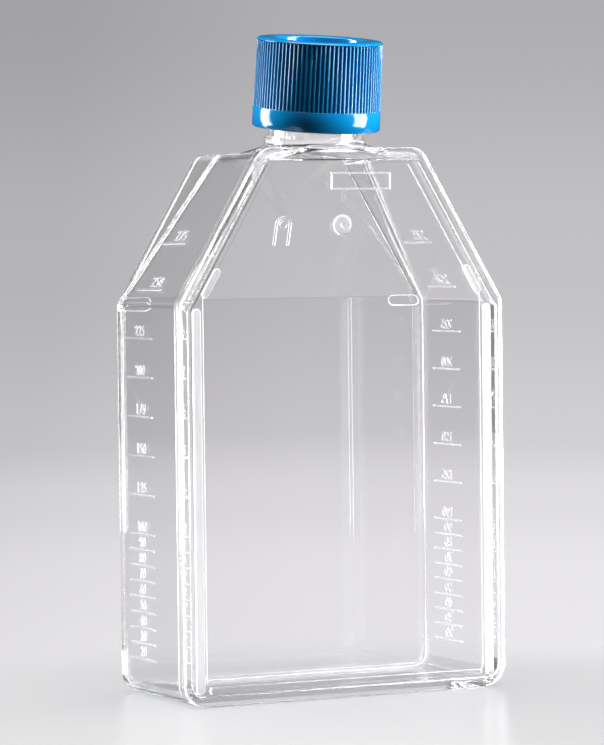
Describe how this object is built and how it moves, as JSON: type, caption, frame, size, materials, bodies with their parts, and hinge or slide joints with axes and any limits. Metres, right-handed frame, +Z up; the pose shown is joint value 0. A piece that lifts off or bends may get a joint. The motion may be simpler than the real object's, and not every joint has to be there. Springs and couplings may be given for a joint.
{
  "type": "cell culture flask",
  "caption": "Clear rectangular cell culture flask with sloped shoulders, a canted neck, side wall graduations and a blue ribbed vented screw cap.",
  "frame": {"origin": "centre of the base, under the middle between the front rim and the back wall", "axes": "+Z up the standing flask, -Y out of the front plate, +Y out of the back wall (the growth surface)"},
  "size_m": [0.084, 0.0425, 0.1553],
  "materials": {
    "clear_polystyrene": "clear, polished mould",
    "blue_polypropylene": "satin moulded",
    "white_liner": "soft matt",
    "white_membrane": "matt, fibrous"
  },
  "bodies": {
    "flask": {"flask_body": "clear_polystyrene", "front_plate": "clear_polystyrene"},
    "seal": {"seal_ring": "white_liner"},
    "cap": {"screw_cap": "blue_polypropylene", "vent_membrane": "white_membrane"}
  },
  "joints": [
    {"name": "cap_lift", "type": "slide", "parent": "flask", "child": "seal", "axis": [0, -0.1323, 0.9912], "range_m": [0, 0.00601]},
    {"name": "cap_turn", "type": "hinge", "parent": "seal", "child": "cap", "pos_m": [0, -0.0046, 0.1279], "axis": [0, -0.1323, 0.9912], "range_deg": [0, 540]}
  ],
  "couplings": [
    {"joint": "cap_lift", "follows": "cap_turn", "m_per_rad": 0.00063662}
  ]
}
